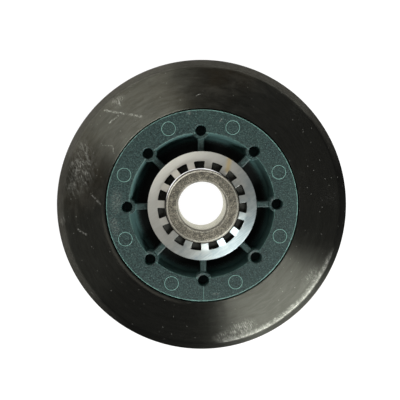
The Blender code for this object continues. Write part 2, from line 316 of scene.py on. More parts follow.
def combine(item, tool_mesh, operation):
    """One Boolean, made part of the mesh."""
    tool = new_object(tool_mesh.name, tool_mesh)
    cut = item.modifiers.new(operation, "BOOLEAN")
    cut.operation = operation
    cut.solver = "EXACT"
    cut.object = tool
    item.modifiers.new("triangles", "TRIANGULATE")
    bpy.context.view_layer.update()
    graph = bpy.context.evaluated_depsgraph_get()
    item.data = bpy.data.meshes.new_from_object(item.evaluated_get(graph))
    item.modifiers.clear()
    bpy.data.objects.remove(tool, do_unlink=True)


def dress(item, material, slot, *nodes):
    """Shades a piece, gives it its material and ties it to the CAD frame."""
    item.data.materials.clear()
    item.data.materials.append(material)
    item.data.shade_smooth()
    item.data.set_sharp_from_angle(angle=SHARP_ANGLE)
    flats = item.modifiers.new("flats", "WEIGHTED_NORMAL")
    flats.mode = "FACE_AREA"
    flats.keep_sharp = True
    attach(item, BODY)
    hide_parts(*nodes)
    return item


# ---------------------------------------------------------------- shader helpers

class Shader:
    """A material's node tree, with short calls that take numbers, colours or sockets."""

    def __init__(self, name):
        self.material = bpy.data.materials.new(name)
        self.material.use_nodes = True
        self.tree = self.material.node_tree
        self.surface = self.tree.nodes["Principled BSDF"]
        self.place = self.make("ShaderNodeTexCoord").outputs["Object"]
        self.mm = self.vector("SCALE", self.place, scale=1 / MM)
        parts = self.make("ShaderNodeSeparateXYZ", {"Vector": self.mm})
        self.x, self.y, self.z = parts.outputs
        self.radius = self.length(self.join(self.x, self.y, 0.0))

    def make(self, kind, inputs=None, **settings):
        node = self.tree.nodes.new(kind)
        for key, value in settings.items():
            setattr(node, key, value)
        for key, value in (inputs or {}).items():
            self.put(node.inputs[key], value)
        return node

    def put(self, socket, value):
        if isinstance(value, bpy.types.NodeSocket):
            self.tree.links.new(value, socket)
        else:
            socket.default_value = value

    def math(self, operation, a, b=0.0, c=0.0, clamp=False):
        node = self.make("ShaderNodeMath", {0: a, 1: b, 2: c}, operation=operation, use_clamp=clamp)
        return node.outputs[0]

    def vector(self, operation, a, b=(0.0, 0.0, 0.0), scale=1.0):
        node = self.make("ShaderNodeVectorMath", {0: a, 1: b, 3: scale}, operation=operation)
        return node.outputs["Value" if operation in ("LENGTH", "DOT_PRODUCT") else "Vector"]

    def length(self, a):
        return self.vector("LENGTH", a)

    def join(self, x, y, z):
        return self.make("ShaderNodeCombineXYZ", {"X": x, "Y": y, "Z": z}).outputs[0]

    def step(self, value, low, high, to_low=0.0, to_high=1.0):
        """Smooth step from to_low at low to to_high at high."""
        node = self.make("ShaderNodeMapRange", interpolation_type="SMOOTHSTEP")
        self.put(node.inputs["Value"], value)
        self.put(node.inputs["From Min"], low)
        self.put(node.inputs["From Max"], high)
        self.put(node.inputs["To Min"], to_low)
        self.put(node.inputs["To Max"], to_high)
        return node.outputs["Result"]

    def noise(self, vector, scale, detail=3.0, roughness=0.55, distortion=0.0):
        inputs = {
            "Vector": vector,
            "Scale": scale,
            "Detail": detail,
            "Roughness": roughness,
            "Distortion": distortion,
        }
        return self.make("ShaderNodeTexNoise", inputs).outputs["Fac"]

    def cells(self, vector, scale, feature="F1"):
        node = self.make("ShaderNodeTexVoronoi", {"Vector": vector, "Scale": scale}, feature=feature)
        return node.outputs["Distance"]

    def mix(self, factor, a, b, blend="MIX"):
        node = self.make("ShaderNodeMix", data_type="RGBA", blend_type=blend)
        self.put(node.inputs["Factor"], factor)
        self.put(node.inputs[6], a)
        self.put(node.inputs[7], b)
        return node.outputs[2]

    def bump(self, height, distance, strength=1.0, normal=None):
        """distance is the height, in metres, that a value of one stands up."""
        node = self.make("ShaderNodeBump", {"Height": height, "Distance": distance})
        node.inputs["Strength"].default_value = strength
        if normal is not None:
            self.put(node.inputs["Normal"], normal)
        return node.outputs["Normal"]

    def soft_edges(self, radius):
        return self.make("ShaderNodeBevel", {"Radius": radius}, samples=4).outputs["Normal"]

    def turned_coordinates(self, around, across):
        """Coordinates for marks that run in circles: stretched along the turn, fine across it."""
        safe = self.math("MAXIMUM", self.radius, 0.001)
        x = self.math("MULTIPLY", self.math("DIVIDE", self.x, safe), around)
        y = self.math("MULTIPLY", self.math("DIVIDE", self.y, safe), around)
        run = self.math("ADD", self.math("MULTIPLY", self.radius, across), self.z)
        return self.join(x, y, run)

    def stroke(self, vector, start, end, width):
        """1 on the line between two points (in millimetres), fading to 0 at its width."""
        a = Vector((*start, 0.0))
        line = Vector((*end, 0.0)) - a
        offset = self.vector("SUBTRACT", vector, a)
        along = self.vector("DOT_PRODUCT", offset, line / line.length_squared)
        nearest = self.vector("SCALE", line, scale=self.math("MAXIMUM", along, 0.0, clamp=True))
        return self.step(self.length(self.vector("SUBTRACT", offset, nearest)), 0.0, width, 1.0, 0.0)

    def scaled(self, value, factor):
        return self.math("MULTIPLY", value, factor)

    def most(self, *values):
        result = values[0]
        for value in values[1:]:
            result = self.math("MAXIMUM", result, value)
        return result

    def band(self, value, middle, half):
        """1 at the middle of a band, fading to 0 at its edges."""
        away = self.math("ABSOLUTE", self.math("SUBTRACT", value, middle))
        return self.step(away, 0.0, half, 1.0, 0.0)

    def wander(self, vector, scale, reach):
        """The vector, pushed about by noise so that what is drawn with it comes out ragged."""
        inputs = {"Vector": vector, "Scale": scale, "Detail": 3.0, "Roughness": 0.6}
        colour = self.make("ShaderNodeTexNoise", inputs).outputs["Color"]
        push = self.vector("SCALE", self.vector("SUBTRACT", colour, (0.5, 0.5, 0.5)), scale=reach)
        return self.vector("ADD", vector, push)

    def patch(self, vector, angle, radius, along, across):
        """An oval on the face, 1 at its middle. along is half its length round the turn."""
        out = Vector((*polar(angle, 1.0), 0.0))
        side = Vector((-out.y, out.x, 0.0))
        outward = self.math("SUBTRACT", self.vector("DOT_PRODUCT", vector, out), radius)
        sideways = self.vector("DOT_PRODUCT", vector, side)
        oval = self.join(self.scaled(outward, 1 / across), self.scaled(sideways, 1 / along), 0.0)
        return self.step(self.length(oval), 0.2, 1.0, 1.0, 0.0)

    def around_bore(self):
        return self.make("ShaderNodeTangent", direction_type="RADIAL", axis="Z").outputs[0]


def polar(angle, radius):
    """A point on the roller's face, from degrees counter-clockwise of +X and millimetres."""
    return (radius * math.cos(math.radians(angle)), radius * math.sin(math.radians(angle)))


# ---------------------------------------------------------------- tyre

LIP_MIDDLE = math.radians(219)        # flash left beside the hub
LIP_HALF = math.radians(43)
LIP_WIDTH = 1.15 * MM
LIP_HEIGHT = 0.1 * MM
REAR_LIP_MIDDLE = math.radians(70)
REAR_LIP_SCALE = 0.6
FACE_FALL = 2.15                      # power of the face's fall towards its outer edge
FACE_ROWS = 9


def lip_width(angle, middle):
    """Width of the flash at an angle: ragged, and nothing at all over most of the turn."""
    away = abs((angle - middle + math.pi) % math.tau - math.pi) / LIP_HALF
    if away >= 1:
        return 0.0
    swell = math.sqrt(1 - away ** 2)
    where = Vector((9 * math.cos(angle), 9 * math.sin(angle), 0.0))
    ragged = 1 + 0.3 * noise.noise(where) + 0.16 * noise.noise(3.3 * where)
    return LIP_WIDTH * swell * ragged


def face_line(bore, width):
    """From the bore edge out over the flash to the face's outer edge."""
    start = bore + FACE_BREAK

    def level(radius):
        share = max(0.0, (radius - start) / (TYRE_FACE_RADIUS - start))
        return TYRE_FACE - (TYRE_FACE - TYRE_FACE_OUTER) * share ** FACE_FALL

    height = LIP_HEIGHT * min(1.0, width / (0.4 * LIP_WIDTH))
    reach = start + max(width, 0.12 * MM)
    foot = reach + 0.08 * MM
    points = [
        (bore, TYRE_FACE - FACE_BREAK),
        (bore + 0.3 * FACE_BREAK, TYRE_FACE - 0.3 * FACE_BREAK + height),
        (start, level(start) + height),
        (reach - 0.06 * MM, level(reach) + height),
        (reach, level(reach) + 0.2 * height),
    ]
    for i in range(FACE_ROWS + 1):
        radius = foot + (TYRE_FACE_RADIUS - foot) * i / FACE_ROWS
        points.append((radius, level(radius)))
    return points


def tyre_half(bore, width):
    """Upper half of the tyre's profile, from the bead out to the middle of the tread."""
    bead_half = KEY_HALF + GAP - GAP * math.sqrt(2)
    points = [(bore - KEY_DEPTH, bead_half), (bore, bead_half + KEY_DEPTH)]
    points += face_line(bore, width)
    corner_centre = (
        TYRE_FACE_RADIUS - SHOULDER_CORNER * math.cos(SHOULDER_START),
        TYRE_FACE_OUTER - SHOULDER_CORNER * math.sin(SHOULDER_START),
    )
    corner = arc(corner_centre, SHOULDER_CORNER, SHOULDER_START, SHOULDER_LEAN, 12)
    flank_end = corner[-1][1] - (FLANK_RADIUS - corner[-1][0]) / math.tan(SHOULDER_LEAN)
    side_radius = (TYRE_EDGE_RADIUS - FLANK_RADIUS) / (1 - math.cos(SHOULDER_LEAN))
    side_end = flank_end - side_radius * math.sin(SHOULDER_LEAN)
    side_centre = (TYRE_EDGE_RADIUS - side_radius, side_end)
    points += corner[1:] + arc(side_centre, side_radius, SHOULDER_LEAN, 0.0, 8)
    crown = TYRE_RADIUS - TYRE_EDGE_RADIUS
    points += [(TYRE_RADIUS - crown * share ** 2, side_end * share) for share in (0.75, 0.5, 0.25)]
    return points


def make_tyre():
    bore = HUB_RADIUS + GAP

    def profile(angle):
        front = tyre_half(bore, lip_width(angle, LIP_MIDDLE))
        rear = tyre_half(bore, REAR_LIP_SCALE * lip_width(angle, REAR_LIP_MIDDLE))
        return front + [(TYRE_RADIUS, 0.0)] + [(r, -z) for r, z in reversed(rear)]

    tyre = new_object("tyre_surface", turned_mesh("tyre_surface", profile, TYRE_STEPS))
    return dress(tyre, rubber(), "tyre", "tyre")


# ---------------------------------------------------------------- hub

def hub_profile():
    bore = BUSH_RADIUS + GAP
    recess = WICK_RADIUS + GAP
    upper = [
        (bore, WICK_FLOOR),
        (recess, WICK_FLOOR),
        (recess, BOSS_END),
        (BOSS_RADIUS, BOSS_END),
    ]
    boss_centre = (BOSS_FOOT_RADIUS + BOSS_FILLET, WEB_HALF + BOSS_FILLET)
    upper += arc(boss_centre, BOSS_FILLET, math.pi, 1.5 * math.pi, 8)
    pocket_centre = (POCKET_FOOT_RADIUS - POCKET_FILLET, WEB_HALF + POCKET_FILLET)
    upper += arc(pocket_centre, POCKET_FILLET, -0.5 * math.pi, 0.0, 9)
    upper += [
        (POCKET_RADIUS, HUB_FACE),
        (HUB_RADIUS, HUB_FACE),
        (HUB_RADIUS, KEY_HALF + KEY_DEPTH),
        (HUB_RADIUS - KEY_DEPTH, KEY_HALF),
    ]
    return rounded(mirrored(upper), HUB_EDGE_ROUND)


def rib_mesh():
    """A rib runs through the web, from the front pocket to the rear one."""
    half = RIB_WIDTH_TOP / 2
    quarter = [(RIB_WIDTH_WEB / 2, 0.0)]
    quarter += arc((half - RIB_EDGE, RIB_TOP - RIB_EDGE), RIB_EDGE, 0.0, 0.5 * math.pi, 4)
    right = [(x, -z) for x, z in reversed(quarter[1:])] + quarter
    outline = right + [(-x, z) for x, z in reversed(right)]
    rib = extruded_mesh("rib", outline, (RIB_OUTER - RIB_INNER) / 2)
    middle = Matrix.Translation(((RIB_OUTER + RIB_INNER) / 2, 0.0, 0.0))
    upright = Matrix(((0, 0, 1, 0), (1, 0, 0, 0), (0, 1, 0, 0), (0, 0, 0, 1)))
    rib.transform(middle @ upright)
    return rib


def hole_boss_mesh():
    edge = 0.15 * MM
    profile = [
        (0.0, HOLE_BOSS_TOP),
        (HOLE_BOSS_RADIUS - edge, HOLE_BOSS_TOP),
        (HOLE_BOSS_RADIUS, HOLE_BOSS_TOP - edge),
        (HOLE_BOSS_WEB_RADIUS, 0.0),
        (HOLE_BOSS_RADIUS, edge - HOLE_BOSS_TOP),
        (HOLE_BOSS_RADIUS - edge, -HOLE_BOSS_TOP),
        (0.0, -HOLE_BOSS_TOP),
    ]
    mesh = turned_solid_mesh("hole_boss", profile, DETAIL_STEPS)
    mesh.transform(Matrix.Translation((HOLE_CIRCLE, 0.0, 0.0)))
    return mesh


def spoke_mesh():
    """A rib joined to its hole boss."""
    spoke = new_object("spoke", rib_mesh())
    combine(spoke, hole_boss_mesh(), "UNION")
    mesh = spoke.data
    bpy.data.objects.remove(spoke, do_unlink=True)
    return mesh


def hole_mesh():
    """Cutter for a blind hole with a rounded mouth, along +Z."""
    above = HUB_FACE + 1.0 * MM
    mouth = HOLE_RADIUS + HOLE_MOUTH + above - HOLE_BOSS_TOP
    profile = [
        (0.0, above),
        (mouth, above),
        (HOLE_RADIUS + HOLE_MOUTH, HOLE_BOSS_TOP),
        (HOLE_RADIUS + 0.3 * HOLE_MOUTH, HOLE_BOSS_TOP - 0.4 * HOLE_MOUTH),
        (HOLE_RADIUS, HOLE_BOSS_TOP - 1.2 * HOLE_MOUTH),
        (HOLE_FLOOR_RADIUS, HOLE_FLOOR),
        (0.0, HOLE_FLOOR),
    ]
    return turned_solid_mesh("hole", profile, DETAIL_STEPS)


def ejector_ring_mesh():
    root = HUB_FACE - EJECTOR_HEIGHT
    top = HUB_FACE + EJECTOR_HEIGHT
    slope = 0.3 * EJECTOR_LINE
    profile = [
        (EJECTOR_RADIUS - EJECTOR_LINE, root),
        (EJECTOR_RADIUS - EJECTOR_LINE + slope, top),
        (EJECTOR_RADIUS - slope, top),
        (EJECTOR_RADIUS, root),
    ]
    return turned_mesh("ejector_ring", profile, DETAIL_STEPS)


def gate_meshes():
    """A dimple cutter and the broken-off nub in it, on the rear face."""
    face = -HUB_FACE
    dimple = [
        (0.0, face + GATE_DEPTH),
        (GATE_RADIUS - GATE_DEPTH, face + GATE_DEPTH),
        (GATE_RADIUS + GATE_DEPTH, face - GATE_DEPTH),
        (0.0, face - GATE_DEPTH),
    ]
    nub_end = face + 0.4 * GATE_DEPTH
    nub = [
        (0.0, face + 2 * GATE_DEPTH),
        (GATE_NUB_RADIUS, face + 2 * GATE_DEPTH),
        (GATE_NUB_RADIUS, nub_end + 0.3 * GATE_DEPTH),
        (0.6 * GATE_NUB_RADIUS, nub_end),
        (0.0, nub_end),
    ]
    return (
        turned_solid_mesh("gate_dimple", dimple, DETAIL_STEPS),
        turned_solid_mesh("gate_nub", nub, DETAIL_STEPS // 2),
    )


def joined(*meshes):
    """One mesh of several that don't touch."""
    everything = bmesh.new()
    for mesh in meshes:
        everything.from_mesh(mesh)
    result = bpy.data.meshes.new(meshes[0].name)
    everything.to_mesh(result)
    everything.free()
    return result


def make_hub():
    hub = new_object("hub_surface", turned_mesh("hub_surface", hub_profile(), FULL_STEPS))
    between = math.pi / RIB_COUNT
    on_holes = Matrix.Translation((HOLE_CIRCLE, 0.0, 0.0))
    on_marks = Matrix.Translation((MARK_CIRCLE, 0.0, 0.0))
    over = Matrix.Rotation(math.pi, 4, "X")
    dimple, nub = gate_meshes()
    combine(hub, spaced(spoke_mesh(), RIB_COUNT, 0.0), "UNION")
    holes = [spaced(hole_mesh(), RIB_COUNT, 0.0, on_holes @ turn) for turn in (Matrix(), over)]
    dimples = spaced(dimple, RIB_COUNT // 2, between, on_marks)
    combine(hub, joined(*holes, dimples), "DIFFERENCE")
    rings = spaced(ejector_ring_mesh(), RIB_COUNT, between, on_marks)
    nubs = spaced(nub, RIB_COUNT // 2, between, on_marks)
    combine(hub, joined(rings, nubs), "UNION")
    return dress(hub, nylon(), "hub", "hub")


# ---------------------------------------------------------------- bush, retainers and wicks

def make_bush():
    upper = [
        (BORE_RADIUS, BUSH_END - BUSH_BORE_CHAMFER),
        (BORE_RADIUS + BUSH_BORE_CHAMFER, BUSH_END),
        (BUSH_RADIUS - BUSH_OUTER_CHAMFER, BUSH_END),
        (BUSH_RADIUS, BUSH_END - BUSH_OUTER_CHAMFER),
    ]
    profile = rounded(mirrored(upper), BUSH_ROUND, 6)
    bush = new_object("bush_surface", turned_mesh("bush_surface", profile, FULL_STEPS))
    return dress(bush, sintered_iron(), "bush", "bush")


def retainer_profile():
    """Slightly dished rim, with a shallow cone inside the root radius that becomes the teeth."""
    bottom = RETAINER_BOTTOM
    top = bottom + RETAINER_THICKNESS
    tip = BUSH_RADIUS + GAP
    rise = (TOOTH_ROOT_RADIUS - tip) * math.tan(TOOTH_BEND)
    outer = RETAINER_RADIUS
    profile = [
        (tip, bottom + rise),
        (tip, top + rise),
        (TOOTH_ROOT_RADIUS - BEND_ROUND, top + BEND_ROUND * math.tan(TOOTH_BEND)),
        (TOOTH_ROOT_RADIUS, top + 0.3 * BEND_ROUND * math.tan(TOOTH_BEND)),
        (TOOTH_ROOT_RADIUS + BEND_ROUND, top),
        (outer, top - RIM_DISH),
        (outer, bottom - RIM_DISH),
        (TOOTH_ROOT_RADIUS, bottom),
    ]
    return rounded(profile, RETAINER_ROUND, 2)


def window_outline():
    """Window on +X between two parallel-sided teeth, with rounded outer corners."""
    half_pitch = math.pi / TOOTH_COUNT
    half_tooth = TOOTH_WIDTH / 2
    inner = BUSH_RADIUS - 1.0 * MM
    root_angle = half_pitch - math.asin(half_tooth / TOOTH_ROOT_RADIUS)

    def flank(radius):
        angle = half_pitch - math.asin(half_tooth / radius)
        return Vector((radius * math.cos(angle), radius * math.sin(angle)))

    def root(angle):
        return Vector((math.cos(angle), math.sin(angle))) * TOOTH_ROOT_RADIUS

    start = flank(TOOTH_ROOT_RADIUS - WINDOW_CORNER)
    corner = root(root_angle)
    end = root(root_angle - WINDOW_CORNER / TOOTH_ROOT_RADIUS)
    upper = [flank(inner)]
    for i in range(CORNER_STEPS + 1):
        t = i / CORNER_STEPS
        upper.append(start * (1 - t) ** 2 + corner * 2 * t * (1 - t) + end * t ** 2)
    upper += [root(root_angle * share) for share in (0.6, 0.3, 0.1)]
    return [(p.x, -p.y) for p in upper] + [(p.x, p.y) for p in reversed(upper)]


def make_retainer(name, turn, rear):
    item = new_object(f"{name}_surface", turned_mesh(name, retainer_profile(), RING_STEPS))
    window = extruded_mesh("window", window_outline(), 3.0 * MM)
    level = Matrix.Translation((0.0, 0.0, BOSS_END))
    combine(item, spaced(window, TOOTH_COUNT, 0.0, level), "DIFFERENCE")
    flip = Matrix.Rotation(math.pi if rear else 0.0, 4, "X")
    item.data.transform(Matrix.Rotation(turn, 4, "Z") @ flip)
    return dress(item, satin_steel(name, turn), "retainer", name)


def make_wick(name, rear):
    """Felt ring, its end rough with fibres that stay just below the end of the boss."""
    inner = BUSH_RADIUS + GAP
    half_width = 0.5 * (WICK_RADIUS - inner)
    middle = inner + half_width

    def profile(angle):
        points = [(inner, WICK_BOTTOM)]
        for i in range(WICK_ROWS + 1):
            across = 2 * i / WICK_ROWS - 1
            radius = middle + half_width * across
            where = Vector((math.cos(angle) * radius, math.sin(angle) * radius, 0.0)) / MM
            fuzz = 0.5 + 0.5 * noise.fractal(2.2 * where, 0.8, 2.1, 3)
            drop = WICK_ROUND * across ** 6 + WICK_FUZZ * min(1.0, max(0.0, fuzz))
            points.append((radius, BOSS_END - drop))
        return points + [(WICK_RADIUS, WICK_BOTTOM)]

    item = new_object(f"{name}_surface", turned_mesh(name, profile, FULL_STEPS))
    item.data.transform(Matrix.Rotation(math.pi if rear else 0.0, 4, "X"))
    return dress(item, felt(name), "wick", name)


# ---------------------------------------------------------------- materials

def rubber_marks(s):
    """Talc, scratches and scuffs on the front face, as one mask."""
    ragged = s.wander(s.join(s.x, s.y, 0.0), 1.1, 0.9)
    long_scratch = s.stroke(ragged, polar(134.6, 35.8), polar(123.0, 28.2), 0.42)
    side_scratch = s.stroke(ragged, polar(137.0, 32.6), polar(132.0, 32.2), 0.3)
    hook_down = s.stroke(ragged, polar(147.5, 30.5), polar(145.2, 28.4), 0.3)
    hook_back = s.stroke(ragged, polar(145.2, 28.4), polar(148.2, 27.0), 0.3)
    inner_scratch = s.stroke(ragged, polar(173.0, 29.3), polar(178.0, 26.8), 0.4)
    top_dash = s.stroke(ragged, polar(92.2, 28.9), polar(90.0, 29.3), 0.22)
    left_scuff = s.stroke(ragged, polar(193.0, 31.5), polar(190.0, 33.3), 0.45)
    low_scuff = s.stroke(ragged, polar(217.0, 37.2), polar(219.0, 37.4), 0.3)
    strokes = s.most(
        s.scaled(long_scratch, 0.75),
        s.scaled(side_scratch, 0.6),
        s.scaled(hook_down, 0.5),
        s.scaled(hook_back, 0.45),
        s.scaled(inner_scratch, 0.35),
        s.scaled(top_dash, 0.8),
        s.scaled(left_scuff, 0.35),
        s.scaled(low_scuff, 0.5),
    )
    patches = s.most(
        s.scaled(s.patch(ragged, 163.0, 33.4, 9.0, 5.0), 0.55),
        s.scaled(s.patch(ragged, 154.5, 34.5, 3.8, 3.0), 0.6),
        s.scaled(s.patch(ragged, 128.0, 35.4, 2.6, 2.0), 1.0),
        s.scaled(s.patch(ragged, 184.5, 37.2, 2.6, 1.2), 0.9),
        s.scaled(s.patch(ragged, -34.0, 34.8, 4.4, 2.6), 0.45),
        s.scaled(s.patch(ragged, -73.0, 34.0, 5.4, 2.6), 0.9),
        s.scaled(s.patch(ragged, -80.0, 35.2, 5.0, 2.0), 0.6),
    )
    smeared = s.join(s.math("ADD", s.x, s.scaled(s.y, 0.35)), s.scaled(s.y, 0.3), 0.0)
    grain = s.step(s.noise(s.wander(smeared, 0.5, 1.6), 2.3, 7.0, 0.78), 0.42, 0.66)
    grain = s.math("MULTIPLY", grain, s.step(s.noise(s.mm, 0.42, 4.0, 0.7, 1.0), 0.4, 0.58, 0.25, 1.0))
    broken = s.step(s.noise(s.mm, 2.2, 5.0, 0.75), 0.42, 0.62)
    talc = s.math("MULTIPLY", patches, grain)
    lines = s.math("MULTIPLY", strokes, broken)
    return s.math("MULTIPLY", s.most(talc, lines), s.step(s.z, 4.6, 6.0))


def rim_talc_and_highlight(s):
    """Talc and rubbing on the face's corner at the lower right, ragged on its inner side. It lies where
    the key light's highlight falls on the corner, so it is partly a painted highlight.
    """
    radius = s.length(s.wander(s.join(s.x, s.y, 0.0), 0.8, 1.9))
    edge = s.math("MULTIPLY", s.step(radius, 35.2, 36.2), s.step(s.radius, 36.95, 36.6))
    low_right = s.math("SUBTRACT", s.scaled(s.x, 0.61), s.scaled(s.y, 0.79))
    where = s.step(low_right, 30.2, 33.4)
    return s.math("MULTIPLY", s.math("MULTIPLY", edge, where), s.step(s.z, 6.4, 7.4))


def flash_wear(s):
    """The thin flash beside the hub is grey from rubbing."""
    out = Vector((math.cos(LIP_MIDDLE), math.sin(LIP_MIDDLE), 0.0))
    along = s.math("DIVIDE", s.vector("DOT_PRODUCT", s.mm, out), s.radius)
    where = s.step(along, math.cos(LIP_HALF), math.cos(0.6 * LIP_HALF))
    band = s.band(s.length(s.wander(s.join(s.x, s.y, 0.0), 0.7, 0.5)), 26.2, 0.6)
    return s.math("MULTIPLY", s.math("MULTIPLY", band, where), s.step(s.z, 7.5, 8.3))


def rubber():
    """Black rubber: turned faces, talc and scuffs from handling, a pale rim that is partly wear and
    partly painted light on its upper-left side, and a ground tread.
    """
    s = Shader("tyre_rubber")
    height = s.math("ABSOLUTE", s.z)
    streaks = s.noise(s.turned_coordinates(2.4, 1.5), 1.0, 5.0, 0.62)
    hairlines = s.noise(s.turned_coordinates(1.3, 7.0), 1.0, 3.0, 0.5)
    cloud = s.noise(s.mm, 0.09, 3.0, 0.6)
    marks = rubber_marks(s)
    dusty = s.step(s.noise(s.mm, 0.13, 4.0, 0.7, 0.8), 0.56, 0.78)
    dust = s.math("MULTIPLY", dusty, s.step(s.noise(s.mm, 2.6, 4.0, 0.7), 0.5, 0.75))
    specks = s.step(s.cells(s.mm, 0.62), 0.035, 0.11, 1.0, 0.0)
    rim = s.math("MULTIPLY", s.step(s.radius, 36.3, 37.4), s.step(height, 2.6, 4.4))
    up_left = s.math("SUBTRACT", s.scaled(s.y, 0.82), s.scaled(s.x, 0.57))
    # Painted light: the rim's pale wear is strong on its upper-left side, where the light falls, and
    # almost gone on the lower right.
    lit_upper_left = s.step(up_left, -16.0, 10.0, 0.03, 1.0)
    rim_wear_and_light = s.math("MULTIPLY", rim, s.math("MULTIPLY", lit_upper_left, s.step(cloud, 0.3, 0.7, 0.7, 1.0)))
    tread = s.step(height, 4.6, 3.8)

    # Browner towards the upper left, mottled by cloud: partly brown rubber, partly a painted warm tint
    # of the fill light's highlight there.
    brown = s.math("MULTIPLY", s.step(cloud, 0.38, 0.66, 0.3, 1.0), s.step(up_left, 14.0, 27.0))
    black = s.mix(brown, RUBBER_BLACK, RUBBER_BROWN)
    smears = s.step(s.noise(s.turned_coordinates(5.0, 0.5), 1.0, 6.0, 0.75, 0.6), 0.4, 0.75)
    smears = s.math("MULTIPLY", smears, s.step(up_left, 4.0, 29.0, 0.02, 0.33))
    # Wear and the rim's painted light go into one pale mix.
    worn_and_lit = s.most(rim_wear_and_light, s.scaled(tread, 0.12), smears, s.scaled(flash_wear(s), 0.35))
    worn_and_lit = s.mix(worn_and_lit, black, RUBBER_WEAR_AND_LIGHT)
    flecks = s.step(s.noise(s.wander(s.mm, 0.6, 1.5), 0.9, 6.0, 0.8), 0.4, 0.66, 0.15, 1.0)
    # Talc flecks on the lower-right corner, partly a painted highlight where the key light falls.
    rubbed_and_highlit = s.scaled(s.math("MULTIPLY", rim_talc_and_highlight(s), flecks), 0.95)
    dusted = s.step(s.noise(s.mm, 1.4, 5.0, 0.75), 0.35, 0.65)
    # The dusted rim carries the same painted light on the upper-left side.
    rim_dust_and_light = s.scaled(s.math("MULTIPLY", rim_wear_and_light, dusted), 0.2)
    light = s.most(marks, rubbed_and_highlit, rim_dust_and_light, s.scaled(dust, 0.16), s.scaled(specks, 0.3))
    s.put(s.surface.inputs["Base Color"], s.mix(s.scaled(light, TALC_COVER), worn_and_lit, TALC))

    grain = s.noise(s.mm, 1.6, 5.0, 0.75, 0.5)
    grain_rough = s.step(grain, 0.2, 0.8, 0.28, 0.32)
    turned_rough = s.math("ADD", s.step(streaks, 0.3, 0.72, 0.0, 0.05), grain_rough)
    rough = s.math("ADD", turned_rough, s.scaled(s.most(marks, tread), 0.3), clamp=True)
    s.put(s.surface.inputs["Roughness"], rough)
    s.put(s.surface.inputs["IOR"], RUBBER_IOR)
    swirl = s.noise(s.turned_coordinates(6.0, 1.1), 1.0, 5.0, 0.72, 0.5)
    s.put(s.surface.inputs["Specular Tint"], s.mix(s.step(swirl, 0.32, 0.68), RUBBER_DULL, RUBBER_TINT))
    s.put(s.surface.inputs["Anisotropic"], TURNED_ANISOTROPY)
    s.put(s.surface.inputs["Anisotropic Rotation"], 0.25)
    s.put(s.surface.inputs["Tangent"], s.around_bore())

    ground = s.noise(s.mm, 5.0, 4.0, 0.7)
    relief = s.math("ADD", s.scaled(streaks, 0.6), s.scaled(hairlines, 0.25))
    relief = s.math("ADD", relief, s.scaled(s.math("MULTIPLY", ground, tread), 4.0))
    waves = s.bump(s.noise(s.mm, 0.3, 2.0, 0.5, 0.4), 0.03 * MM)
    s.put(s.surface.inputs["Normal"], s.bump(relief, 0.0035 * MM, normal=waves))
    return s.material


